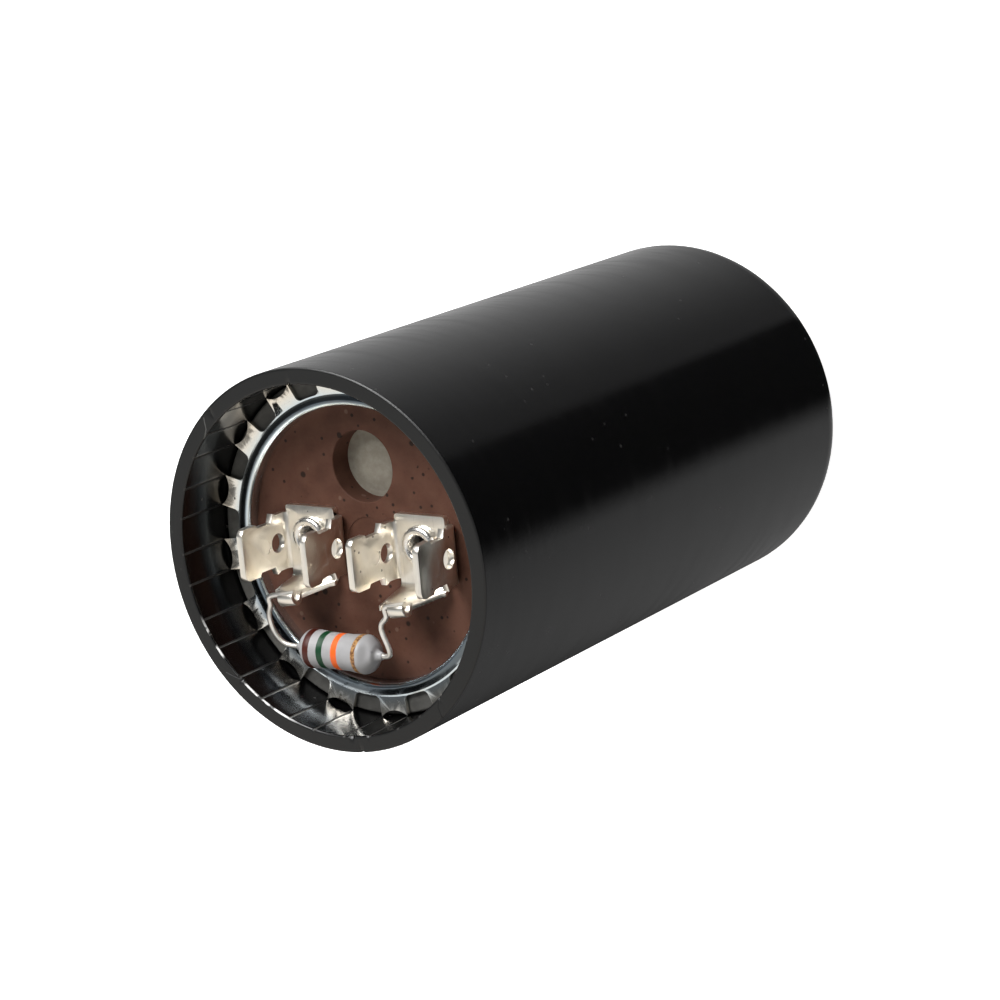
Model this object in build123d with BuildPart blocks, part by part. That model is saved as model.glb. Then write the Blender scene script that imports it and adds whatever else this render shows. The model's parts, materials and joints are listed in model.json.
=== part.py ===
"""A motor start capacitor that stands on its closed end, in millimetres.

X runs through the two rivets, Y points at the vent hole and Z points out of the mouth.
The origin is the centre of the closed end.
"""
from build123d import *

from math import cos, radians, sin
import os

os.makedirs("parts", exist_ok=True)

# Driving dimensions: the case
case_d = 46.0
case_h = 85.0
wall = 3.2
mouth_wall = 2.0
floor_t = 3.0
closed_end_r = 4.3
mouth_depth = 9.3
rim_edge_r = 0.25
inner_corner_r = 1.5

# Driving dimensions: the header, from the rim inwards
fit_gap = 0.1
disc_t = 3.0
backing_t = 2.0
vent_d = 8.7
vent_y = 9.25
vent_dome_h = 0.35
vent_dome_gap = 0.7
centre_mark_d = 6.2
centre_mark_depth = 0.08
seal_inset = 0.6
seal_gap = 0.05

# Driving dimensions: the retaining ring
ring_band_w = 1.7
ring_t = 0.5
ring_h = 1.9
ring_bend_r = 0.45
ring_drop = 0.35
tooth_count = 16
tooth_len = 2.45
tooth_w = 3.85
tooth_angle = 7.1
tooth_hollow = 0.7
tooth_root_r = 0.7
tooth_lift = 0.2

# Driving dimensions: the terminals, from the centre of each rivet
rivet_span = 16.2
rivet_y = 0.45
plate_t = 0.8
plate_top_y = 3.65
plate_root_y = 5.35
plate_x_left = 3.5
plate_x_right = 3.7
blade_w = 6.35
blade_h = 9.15
blade_root_w = 6.9
blade_y = -0.75
blade_left_x = 4.1
blade_right_x = 4.6
blade_lean = 5.0
blade_bend_r = 1.0
blade_corner_r = 0.9
blade_hole_d = 2.4
blade_hole_h = 2.55
notch_from_tip = 2.7
notch_len = 3.1
notch_depth = 0.45
burr = 0.28
dimple_from_tip = 4.4
dimple_d = 1.7
dimple_depth = 0.12

# Driving dimensions: the ear that holds a resistor lead
ear_t = 0.5
ear_lean = 12.7
ear_bend_r = 0.9
ear_left_x = 3.3
ear_root_x = 3.3
ear_shoulder = 1.3
prong_h = 5.85
notch_h = 4.5
notch_gap = 0.33
curl_foot_h = 4.76
curl_left_x = -1.3
curl_right_x = 0.9
curl_yaw = 10.0
curl_r = 0.7
curl_wrap = 200.0
swing_r = 0.4
swing_turn = 60.0
lead_rest = 40.0
lead_rest_gap = 0.02

# Driving dimensions: rivets, washers and foil tabs
rivet_d = 3.1
rivet_bore_d = 2.3
rivet_head_d = 4.8
rivet_head_h = 0.8
washer_d = 7.0
washer_t = 0.6
tab_w = 5.0
tab_t = 0.3
tab_root_x = 12.0
tab_rise = 4.0

# Driving dimensions: the bleed resistor
lead_d = 0.65
resistor_len = 11.2
resistor_d = 4.5
resistor_waist_d = 4.25
resistor_cap_len = 2.9
resistor_x = -2.8
resistor_inset = 4.3
resistor_z = 4.0
lead_seat = 1.2
lead_end_x = 0.4
neck_len = 0.7

# Driving dimensions: the winding
winding_clearance = 1.9
arbor_d = 5.0
wrap_t = 0.4
potting_h = 3.5
insulator_t = 0.5
winding_gap = 9.0

# Levels and radii that follow from them
case_r = case_d / 2
mouth_r = case_r - mouth_wall
bore_r = case_r - wall
disc_top = case_h - mouth_depth
disc_bottom = disc_top - disc_t
ledge_z = disc_bottom - backing_t
header_r = mouth_r - fit_gap
ring_r = mouth_r - 0.5 * fit_gap
root_r = ring_r - tooth_len
ring_inner_r = root_r - ring_band_w
rivet_x = rivet_span / 2
seal_t = ring_h - ring_t - ring_drop - seal_gap
washer_bottom = ledge_z - washer_t
tab_top = washer_bottom
tab_bottom = tab_top - tab_t
wrap_r = bore_r - winding_clearance
winding_r = wrap_r - wrap_t
potting_top = floor_t + potting_h
winding_bottom = potting_top - 1.0
winding_top = ledge_z - winding_gap
lean = radians(ear_lean)
ear_foot = (-plate_root_y, plate_t - ear_t / 2)
leaf_slope = sin(lean) / cos(lean)
leaf_top = (ear_foot[0] - (prong_h - ear_foot[1]) * leaf_slope, prong_h)
curl_foot = (ear_foot[0] - (curl_foot_h - ear_foot[1]) * leaf_slope, curl_foot_h)
curl_x = (curl_left_x + curl_right_x) / 2
curl_w = curl_right_x - curl_left_x
along_curl = Vector(cos(radians(curl_yaw)), sin(radians(curl_yaw)), 0)
across_curl = Vector(-sin(radians(curl_yaw)), cos(radians(curl_yaw)), 0)
rest_r = swing_r + ear_t / 2 + lead_d / 2 + lead_rest_gap
rest_y = rest_r * cos(radians(lead_rest)) - swing_r * cos(lean)
rest_z = rest_r * sin(radians(lead_rest)) - swing_r * sin(lean)
resistor_axis_z = disc_top + resistor_z
resistor_y = resistor_inset - ring_inner_r
sides = {"left": -1, "right": 1}


def finish(part, name):
    """Label a finished piece and write its file."""
    part.label = name
    export_step(part, f"parts/{name}.step")


# Case: one revolved cup with a ledge for the header
with BuildPart() as case:
    with BuildSketch(Plane.XZ) as cup:
        with BuildLine():
            Polyline(
                (0, 0), (case_r, 0), (case_r, case_h), (mouth_r, case_h), (mouth_r, ledge_z),
                (bore_r, ledge_z), (bore_r, floor_t), (0, floor_t), close=True)
        make_face()
        fillet(cup.vertices().sort_by_distance((case_r, 0))[0], closed_end_r)
        fillet(cup.vertices().sort_by_distance((case_r, case_h))[0], rim_edge_r)
        fillet(cup.vertices().sort_by_distance((mouth_r, case_h))[0], rim_edge_r)
        fillet(cup.vertices().sort_by_distance((bore_r, floor_t))[0], inner_corner_r)
    revolve(axis=Axis.Z)
finish(case.part, "case")

# Potting: a pool of pitch that grips the foot of the winding
with BuildPart() as potting:
    with BuildSketch(Plane.XZ) as pool:
        with BuildLine():
            Polyline(
                (0, floor_t), (bore_r, floor_t), (bore_r, potting_top), (wrap_r, potting_top),
                (wrap_r, winding_bottom - insulator_t), (0, winding_bottom - insulator_t), close=True)
        make_face()
        fillet(pool.vertices().sort_by_distance((bore_r, floor_t))[0], inner_corner_r)
    revolve(axis=Axis.Z)
finish(potting.part, "potting")

# Winding: foil and paper rolled on an arbor that was drawn out again
with BuildPart() as winding:
    with BuildSketch(Plane.XY.offset(winding_bottom)):
        Circle(winding_r)
        Circle(arbor_d / 2, mode=Mode.SUBTRACT)
    extrude(amount=winding_top - winding_bottom)
finish(winding.part, "winding")

with BuildPart() as winding_wrap:
    with BuildSketch(Plane.XY.offset(winding_bottom)):
        Circle(wrap_r)
        Circle(winding_r, mode=Mode.SUBTRACT)
    extrude(amount=winding_top - winding_bottom)
finish(winding_wrap.part, "winding_wrap")

with BuildPart() as bottom_insulator:
    with BuildSketch(Plane.XY.offset(winding_bottom)):
        Circle(wrap_r)
    extrude(amount=-insulator_t)
finish(bottom_insulator.part, "bottom_insulator")

# The top insulator has a slit on each side for the foil tabs
with BuildPart() as top_insulator:
    with BuildSketch(Plane.XY.offset(winding_top)):
        Circle(wrap_r)
        with Locations((-tab_root_x, 0), (tab_root_x, 0)):
            Rectangle(3 * tab_t, tab_w + 1, mode=Mode.SUBTRACT)
    extrude(amount=insulator_t)
finish(top_insulator.part, "top_insulator")

# Header: the phenolic disc, the rubber under it and the dark seal on its rim
with BuildPart() as terminal_disc:
    with BuildSketch(Plane.XY.offset(disc_bottom)):
        Circle(header_r)
        with Locations((0, vent_y)):
            Circle(vent_d / 2, mode=Mode.SUBTRACT)
        with Locations((-rivet_x, rivet_y), (rivet_x, rivet_y)):
            Circle(rivet_d / 2, mode=Mode.SUBTRACT)
    extrude(amount=disc_t)
    with BuildSketch(Plane.XY.offset(disc_top)):
        Circle(centre_mark_d / 2)
    extrude(amount=-centre_mark_depth, mode=Mode.SUBTRACT)
    vent_rim = terminal_disc.edges().filter_by(GeomType.CIRCLE).filter_by(
        lambda edge: abs(edge.radius - vent_d / 2) < 1e-3 and edge.center().Z > disc_top - 1e-3)
    fillet(vent_rim, 0.15)
finish(terminal_disc.part, "terminal_disc")

with BuildPart() as rubber_backing:
    with BuildSketch(Plane.XY.offset(ledge_z)):
        Circle(header_r)
        with Locations((-rivet_x, rivet_y), (rivet_x, rivet_y)):
            Circle(rivet_d / 2, mode=Mode.SUBTRACT)
    extrude(amount=backing_t)
    dome_r = vent_d / 2 - vent_dome_gap
    with BuildSketch(Plane.XZ.offset(-vent_y)):
        with BuildLine():
            Polyline(
                (0, disc_bottom + vent_dome_h), (0, disc_bottom - 0.5), (dome_r, disc_bottom - 0.5),
                (dome_r, disc_bottom))
            TangentArc(
                (0, disc_bottom + vent_dome_h), (dome_r, disc_bottom), tangent=(1, 0))
        make_face()
    revolve(axis=Axis((0, vent_y, 0), (0, 0, 1)))
finish(rubber_backing.part, "rubber_backing")

with BuildPart() as seal_ring:
    with BuildSketch(Plane.XY.offset(disc_top)):
        Circle(header_r)
        Circle(ring_inner_r + seal_inset, mode=Mode.SUBTRACT)
    extrude(amount=seal_t)
    fillet(seal_ring.faces().sort_by(Axis.Z)[-1].edges(), 0.35)
finish(seal_ring.part, "seal_ring")

# Retaining ring: a pressed section turned round the axis, then blanked to its toothed outline
flange_x = ring_inner_r + ring_t / 2
ring_top = disc_top + ring_h - ring_t / 2
with BuildPart() as retaining_ring:
    with BuildSketch(Plane.XZ):
        with BuildLine():
            FilletPolyline(
                (flange_x, disc_top), (flange_x, ring_top), (root_r, ring_top - ring_drop),
                (ring_r + ring_t, ring_top - ring_drop + tooth_lift), radius=ring_bend_r)
        trace(line_width=ring_t)
    revolve(axis=Axis.Z)
    with BuildSketch(Plane.XY.offset(disc_top)) as blank:
        Circle(root_r)
        with PolarLocations(root_r, tooth_count, start_angle=tooth_angle):
            Rectangle(2 * (ring_r - root_r), tooth_w)
        Circle(ring_inner_r - 0.1, mode=Mode.SUBTRACT)
        slot_corners = blank.vertices().filter_by(
            lambda corner: abs((corner.X ** 2 + corner.Y ** 2) ** 0.5 - root_r) < 0.2)
        fillet(slot_corners, tooth_root_r)
        hollow_r = (tooth_w ** 2 / 4 + tooth_hollow ** 2) / (2 * tooth_hollow)
        tip_r = (ring_r ** 2 - tooth_w ** 2 / 4) ** 0.5
        with PolarLocations(tip_r - tooth_hollow + hollow_r, tooth_count, start_angle=tooth_angle):
            Circle(hollow_r, mode=Mode.SUBTRACT)
    extrude(amount=ring_h + ring_t, mode=Mode.INTERSECT)
finish(retaining_ring.part, "retaining_ring")

# Ears: a leaning leaf with a curl that holds the resistor lead, and a notch where the lead comes through
lead_x = {"left": -2.95, "right": -2.3}
ears = {}
for side, sign in sides.items():
    seat = (sign * rivet_x, rivet_y, disc_top)
    front = Plane(seat, x_dir=(1, 0, 0), z_dir=(0, -1, 0))
    across = Plane(seat, x_dir=(0, 1, 0), z_dir=(1, 0, 0))
    curl_seat = Vector(seat) + Vector(curl_x, curl_foot[0], curl_foot[1])
    with BuildPart() as ear:
        with BuildSketch(across.offset(-ear_left_x)):
            with BuildLine():
                FilletPolyline((ear_foot[0] + 2.2, ear_foot[1]), ear_foot, leaf_top, radius=ear_bend_r)
            trace(line_width=ear_t)
        extrude(amount=ear_left_x + ear_root_x)
        with BuildSketch(front) as ear_outline:
            with BuildLine():
                Polyline(
                    (-ear_left_x, -0.5), (ear_root_x, -0.5), (ear_root_x, ear_shoulder),
                    (ear_root_x - 0.5, ear_shoulder + 0.4), (curl_right_x, curl_foot_h),
                    (curl_left_x, curl_foot_h), (curl_left_x, prong_h - 0.1), (-ear_left_x, prong_h - 0.1),
                    close=True)
            make_face()
            fillet(ear_outline.vertices().sort_by_distance((-ear_left_x, prong_h))[0], 0.35)
            notch_left = lead_x[side] - lead_d / 2 - notch_gap
            with Locations((notch_left, notch_h)):
                Rectangle(curl_left_x - notch_left, prong_h, align=(Align.MIN, Align.MIN), mode=Mode.SUBTRACT)
        extrude(amount=2 * plate_root_y, both=True, mode=Mode.INTERSECT)
        with BuildSketch(Plane(curl_seat, x_dir=across_curl, z_dir=along_curl).offset(-curl_w / 2)):
            with BuildLine():
                stem = Line((0.3 * sin(lean), -0.3 * cos(lean)), (0, 0))
                swing = JernArc(stem @ 1, tangent=stem % 1, radius=swing_r, arc_size=swing_turn)
                JernArc(swing @ 1, tangent=swing % 1, radius=curl_r, arc_size=-curl_wrap)
            trace(line_width=ear_t)
        extrude(amount=curl_w)
    ears[side] = ear

# Terminals: a bent channel blanked to its side outline, with the plate between its legs and the ear
for side, sign in sides.items():
    seat = (sign * rivet_x, rivet_y, disc_top)
    blade_seat = (sign * rivet_x, rivet_y + blade_y, disc_top)
    front = Plane(blade_seat, x_dir=(1, 0, 0), z_dir=(0, -1, 0))
    across = Plane(blade_seat, x_dir=(0, 1, 0), z_dir=(1, 0, 0))
    lean_x = (blade_h - plate_t / 2) * sin(radians(blade_lean))
    tip = blade_h - 0.05
    notch_top = tip - notch_from_tip
    notch_foot = notch_top - notch_len
    with BuildPart() as terminal:
        with BuildSketch(front):
            with BuildLine():
                FilletPolyline(
                    (-blade_left_x, blade_h), (-blade_left_x, plate_t / 2),
                    (blade_right_x, plate_t / 2), (blade_right_x + lean_x, blade_h), radius=blade_bend_r)
            trace(line_width=plate_t)
        extrude(amount=blade_root_w / 2 + burr, both=True)
        with BuildSketch(across) as outline:
            half = [
                (blade_root_w / 2, -0.5), (blade_root_w / 2, notch_foot - 0.8),
                (blade_root_w / 2 + burr, notch_foot - 0.2), (blade_w / 2 - notch_depth, notch_foot + 0.2),
                (blade_w / 2 - notch_depth, notch_top - 0.3), (blade_w / 2, notch_top), (blade_w / 2, tip)]
            with BuildLine():
                Polyline(*half, *[(-y, z) for y, z in reversed(half)], close=True)
            make_face()
            fillet(outline.vertices().sort_by(Axis.Y)[-2:], blade_corner_r)
        extrude(amount=2 * blade_right_x, both=True, mode=Mode.INTERSECT)
        with BuildSketch(across):
            with Locations((0, blade_hole_h)):
                Circle(blade_hole_d / 2)
        extrude(amount=2 * blade_right_x, both=True, mode=Mode.SUBTRACT)

        # Locking dimples on the right-hand face of each blade
        dimple_z = disc_top + blade_h - dimple_from_tip
        left_face = sign * rivet_x - blade_left_x + plate_t / 2
        with BuildSketch(Plane((left_face, blade_seat[1], dimple_z), z_dir=(1, 0, 0))):
            Circle(dimple_d / 2)
        extrude(amount=-dimple_depth, mode=Mode.SUBTRACT)

        # The plate under the rivet head
        with BuildSketch(Plane(seat)) as plate:
            with Locations(((plate_x_right - plate_x_left) / 2, (plate_top_y - plate_root_y + 1.2) / 2)):
                Rectangle(plate_x_left + plate_x_right, plate_top_y + plate_root_y - 1.2)
            fillet(plate.vertices().sort_by(Axis.Y)[-2:], 0.4)
        extrude(amount=plate_t)
        add(ears[side].part)
        with BuildSketch(Plane(seat)):
            Circle(rivet_d / 2)
        extrude(amount=plate_t, mode=Mode.SUBTRACT)
    finish(terminal.part, f"terminal_{side}")

# Rivets: tubular, with a rolled head on the plate and a flared tail under the foil tab
for side, sign in sides.items():
    rivet_axis = Axis((sign * rivet_x, rivet_y, 0), (0, 0, 1))
    section = Plane((sign * rivet_x, rivet_y, 0), x_dir=(1, 0, 0), z_dir=(0, -1, 0))
    bore = rivet_bore_d / 2
    shank = rivet_d / 2 - fit_gap / 2
    head_foot = disc_top + plate_t
    tail_r = rivet_head_d / 2 - 0.1
    with BuildPart() as rivet:
        with BuildSketch(section):
            with BuildLine():
                Polyline(
                    (bore + 0.15, head_foot + 0.45 * rivet_head_h), (bore, head_foot - 0.3),
                    (bore, tab_bottom + 0.1), (bore + 0.5, tab_bottom - 0.45), (tail_r, tab_bottom - 0.45),
                    (tail_r, tab_bottom), (shank, tab_bottom), (shank, head_foot),
                    (rivet_head_d / 2, head_foot), (rivet_head_d / 2, head_foot + 0.2 * rivet_head_h))
                ThreePointArc(
                    (rivet_head_d / 2, head_foot + 0.2 * rivet_head_h),
                    (0.35 * bore + 0.325 * rivet_head_d, head_foot + rivet_head_h),
                    (bore + 0.15, head_foot + 0.45 * rivet_head_h))
            make_face()
        revolve(axis=rivet_axis)
    finish(rivet.part, f"rivet_{side}")

    with BuildPart() as washer:
        with BuildSketch(Plane((sign * rivet_x, rivet_y, washer_bottom))):
            Circle(washer_d / 2)
            Circle(rivet_d / 2, mode=Mode.SUBTRACT)
        extrude(amount=washer_t)
    finish(washer.part, f"washer_{side}")

    with BuildPart() as foil_tab:
        with BuildSketch(Plane((0, rivet_y, 0), x_dir=(sign, 0, 0), z_dir=(0, -sign, 0))):
            with BuildLine():
                FilletPolyline(
                    (tab_root_x, winding_top), (tab_root_x, winding_top + tab_rise),
                    (rivet_x + washer_d / 2 - 0.3, tab_top - tab_t / 2),
                    (rivet_x - washer_d / 2, tab_top - tab_t / 2), radius=0.7)
            trace(line_width=tab_t)
        extrude(amount=tab_w / 2, both=True)
        with BuildSketch(Plane((sign * rivet_x, rivet_y, tab_bottom - 0.1))):
            Circle(rivet_d / 2)
        extrude(amount=tab_t + 0.2, mode=Mode.SUBTRACT)
    finish(foil_tab.part, f"foil_tab_{side}")

# Bleed resistor: a coated body, fuller over its end caps, with a seat for each lead
lead_r = lead_d / 2
half_len = resistor_len / 2
body_r = resistor_d / 2
waist_r = resistor_waist_d / 2
seat_x = half_len - lead_seat
resistor_axis = Axis((resistor_x, resistor_y, resistor_axis_z), (1, 0, 0))
with BuildPart() as resistor_body:
    with BuildSketch(Plane(resistor_axis.position, x_dir=(1, 0, 0), z_dir=(0, -1, 0))):
        with BuildLine():
            for way in (-1, 1):
                end_x = way * half_len
                Line((0, 0), (way * seat_x, 0))
                Polyline(
                    (way * seat_x, 0), (way * seat_x, lead_r), (end_x + way * neck_len, lead_r),
                    (end_x + way * neck_len, lead_r + 0.12))
                Spline(
                    (end_x + way * neck_len, lead_r + 0.12), (end_x, lead_r + 0.38),
                    (end_x - way * 0.35, 0.62 * body_r), (end_x - way * 1.4, body_r),
                    (end_x - way * resistor_cap_len, 0.985 * body_r),
                    (end_x - way * (resistor_cap_len + 1.0), waist_r))
                Line((end_x - way * (resistor_cap_len + 1.0), waist_r), (0, waist_r))
        make_face()
    revolve(axis=resistor_axis)
finish(resistor_body.part, "resistor_body")

# Leads: out of the body, through the notch in the ear and along beside its curl
lead_bends = {
    "left": [(-0.06, 0.05), (-1.21, 0.65), (-0.74, 0.83)],
    "right": [(-1.01, 0.17), (-1.14, 0.67), (-0.29, 0.82)]}
lead_out = {"left": 0.5, "right": 1.0}
for side, sign in sides.items():
    body_end = resistor_x + sign * half_len
    lead_line = Vector(
        sign * rivet_x + curl_x, rivet_y + curl_foot[0], disc_top + curl_foot[1] + rest_z) + across_curl * rest_y
    notch_point = lead_line + along_curl * (lead_x[side] - curl_x)
    rise = notch_point - Vector(notch_point.X, resistor_y, resistor_axis_z)
    start = (body_end - sign * lead_seat, resistor_y, resistor_axis_z)
    leaves = (body_end + sign * lead_out[side], resistor_y, resistor_axis_z)
    bends = [
        (notch_point.X + dx, resistor_y + share * rise.Y, resistor_axis_z + min(1, share + 0.1) * rise.Z)
        for dx, share in lead_bends[side]]
    enters = notch_point + along_curl * 0.35
    with BuildPart() as lead:
        with BuildLine() as route:
            Line(start, leaves)
            Spline(leaves, *bends, enters, tangents=((sign, 0, 0), along_curl))
            Line(enters, lead_line + along_curl * (lead_end_x - curl_x))
        with BuildSketch(Plane(start, z_dir=(sign, 0, 0))):
            Circle(lead_r)
        sweep(path=route.wires()[0])
    finish(lead.part, f"resistor_lead_{side}")
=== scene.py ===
# %% [markdown]
# # A motor start capacitor
#
# The frame holds the capacitor's solids: a moulded phenolic cup, the header inside its mouth with two
# riveted terminals and a bleed resistor, and the toothed ring that locks the header in. This script
# dresses them. It works in metres, in the frame's own axes: X through the two rivets, Y towards the vent
# hole, and Z out of the mouth.

# %% Load the frame
import json
import math

import bmesh
import bpy
import numpy as np
from mathutils import Matrix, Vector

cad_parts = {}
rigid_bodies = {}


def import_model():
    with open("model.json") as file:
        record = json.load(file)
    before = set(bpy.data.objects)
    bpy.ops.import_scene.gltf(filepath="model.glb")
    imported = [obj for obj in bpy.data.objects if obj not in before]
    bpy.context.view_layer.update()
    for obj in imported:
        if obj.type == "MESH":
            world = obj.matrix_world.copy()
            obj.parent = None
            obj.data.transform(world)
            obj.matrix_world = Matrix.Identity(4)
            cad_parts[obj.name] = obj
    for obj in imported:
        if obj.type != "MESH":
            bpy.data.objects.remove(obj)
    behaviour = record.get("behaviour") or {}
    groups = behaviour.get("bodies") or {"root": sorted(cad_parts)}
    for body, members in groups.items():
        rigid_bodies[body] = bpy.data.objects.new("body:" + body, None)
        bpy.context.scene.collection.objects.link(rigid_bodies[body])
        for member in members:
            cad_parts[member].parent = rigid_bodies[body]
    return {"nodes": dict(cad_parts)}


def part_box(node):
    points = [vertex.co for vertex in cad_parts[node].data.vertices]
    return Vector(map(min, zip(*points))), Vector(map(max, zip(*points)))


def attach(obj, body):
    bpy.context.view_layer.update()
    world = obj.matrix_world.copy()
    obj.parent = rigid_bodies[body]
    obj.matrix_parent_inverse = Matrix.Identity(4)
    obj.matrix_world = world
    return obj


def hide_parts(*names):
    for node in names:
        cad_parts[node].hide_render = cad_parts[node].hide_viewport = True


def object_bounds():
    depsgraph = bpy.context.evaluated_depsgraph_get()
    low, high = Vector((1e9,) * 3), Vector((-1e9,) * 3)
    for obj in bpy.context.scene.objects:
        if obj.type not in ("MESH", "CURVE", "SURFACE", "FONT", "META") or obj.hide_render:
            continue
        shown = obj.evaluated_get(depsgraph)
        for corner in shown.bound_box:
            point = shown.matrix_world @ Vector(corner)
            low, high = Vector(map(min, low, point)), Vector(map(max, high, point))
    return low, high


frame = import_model()
cad_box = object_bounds()
nodes = frame["nodes"]
MM = 0.001
print(len(nodes), "nodes in a box", cad_box)

# %% [markdown]
# ## The camera
#
# A long lens looks into the mouth from the right and from above. Its place and roll were fitted to the
# ellipses of the rim and of the closed end. A Track To constraint would keep the camera upright, and
# this one is rolled, so its matrix is written out: three unit vectors, which are right, up and
# backwards, and a place.

# %% Place the camera
CAMERA_EYE = np.array([208.32, 84.83, 340.54]) * MM
CAMERA_AZIMUTH = math.radians(-157.475)
CAMERA_ELEVATION = math.radians(-52.319)
CAMERA_ROLL = math.radians(113.185)
CAMERA_LENS = 105.92


def sight_axes(azimuth, elevation, roll):
    """Right, up and forward vectors of a camera that looks along azimuth and elevation.

    Forward is (cos elevation cos azimuth, cos elevation sin azimuth, sin elevation). Up is the plumb vector
    times cos roll plus the level vector times sin roll, so that the camera rolls clockwise."""
    forward = np.array([math.cos(elevation) * math.cos(azimuth), math.cos(elevation) * math.sin(azimuth),
                        math.sin(elevation)])
    level = np.cross(forward, [0, 0, 1])
    level /= np.linalg.norm(level)
    plumb = np.cross(level, forward)
    up = plumb * math.cos(roll) + level * math.sin(roll)
    return np.cross(forward, up), up, forward


RIGHT, UP, FORWARD = sight_axes(CAMERA_AZIMUTH, CAMERA_ELEVATION, CAMERA_ROLL)


def placed(obj, place, right, up, backward):
    """Give an object a place and three unit axes."""
    matrix = np.eye(4)
    matrix[:3, 0] = right
    matrix[:3, 1] = up
    matrix[:3, 2] = backward
    matrix[:3, 3] = place
    obj.matrix_world = Matrix(matrix.tolist())


camera = bpy.data.objects.new("camera", bpy.data.cameras.new("camera"))
bpy.context.scene.collection.objects.link(camera)
camera.data.sensor_width = 36
camera.data.lens = CAMERA_LENS
camera.data.clip_start = 0.01
placed(camera, CAMERA_EYE, RIGHT, UP, -FORWARD)
bpy.context.scene.camera = camera
bpy.context.scene.view_settings.view_transform = "Standard"
print("camera up", UP.round(3))

# %% [markdown]
# ## Lamps
#
# The photograph is a studio shot on white, and the shading in the mouth tells where its lamps stood: a
# broad one above, the key lamp in front of the mouth, up and to its left, and a dim one at the right. A
# point or a sun would draw hard shadows, so each is an area lamp that faces the object. Directions are
# given along the camera's right, up and towards it, and keep the photograph's light although the part
# stands on end here.

# %% Hang the lamps
AIM = np.array([0, 0, 55]) * MM


def lamp(name, direction, distance, width, height, power):
    """An area lamp at a distance from AIM. direction is its share of right, up and towards the camera."""
    light = bpy.data.lights.new(name, "AREA")
    light.shape = "RECTANGLE"
    light.size = width
    light.size_y = height
    light.energy = power
    obj = bpy.data.objects.new(name, light)
    bpy.context.scene.collection.objects.link(obj)
    towards = direction[0] * RIGHT + direction[1] * UP - direction[2] * FORWARD
    towards /= np.linalg.norm(towards)
    side = np.cross(UP, towards) if abs(towards @ UP) < 0.95 else RIGHT
    side = side / np.linalg.norm(side)
    placed(obj, AIM + distance * towards, side, np.cross(towards, side), towards)


lamp("lamp_above", (-0.15, 1.0, 0.25), 0.6, 0.7, 0.45, 9.0)
lamp("lamp_key", (-0.55, 0.53, 0.63), 0.7, 0.42, 0.3, 4.7)
lamp("lamp_right", (1.0, 0.25, 0.5), 0.8, 0.2, 0.5, 1.2)

# %% [markdown]
# ## Shader maths in Python
#
# A procedural finish is arithmetic on positions. Wiring Math nodes by hand hides that arithmetic, so a
# socket is wrapped in a class whose operators add the nodes. `1 - mask * 0.3` then reads as what it
# does. A second class holds a material while it is built, and offers the patterns that the finishes
# share.


# %% A socket that takes part in arithmetic
class Value:
    """A shader output. Each operator adds one Math node and gives its output."""

    def __init__(self, sheet, socket):
        self.sheet = sheet
        self.socket = socket

    def maths(self, operation, *others):
        """A Math node's output, with this value as its first input."""
        return self.sheet.node("ShaderNodeMath", {"operation": operation}, self, *others)

    def __add__(self, other):
        return self.maths("ADD", other)

    __radd__ = __add__

    def __mul__(self, other):
        return self.maths("MULTIPLY", other)

    __rmul__ = __mul__

    def __sub__(self, other):
        return self.maths("SUBTRACT", other)

    def __rsub__(self, other):
        return self.sheet.node("ShaderNodeMath", {"operation": "SUBTRACT"}, other, self)

    def __truediv__(self, other):
        return self.maths("DIVIDE", other)

    def __pow__(self, other):
        return self.maths("POWER", other)

    def __abs__(self):
        return self.maths("ABSOLUTE")

    def step(self, low, high):
        """0 below low, 1 above high and smooth between them; with low above high it falls instead."""
        settings = {"interpolation_type": "SMOOTHSTEP"}
        return self.sheet.node("ShaderNodeMapRange", settings, self, low, high, 0.0, 1.0)

    def clamp(self):
        """The value held between 0 and 1."""
        return self.sheet.node("ShaderNodeClamp", {}, self, 0.0, 1.0)


print("a value offers", [name for name in vars(Value) if not name.startswith("_")], "and six operators")


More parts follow.
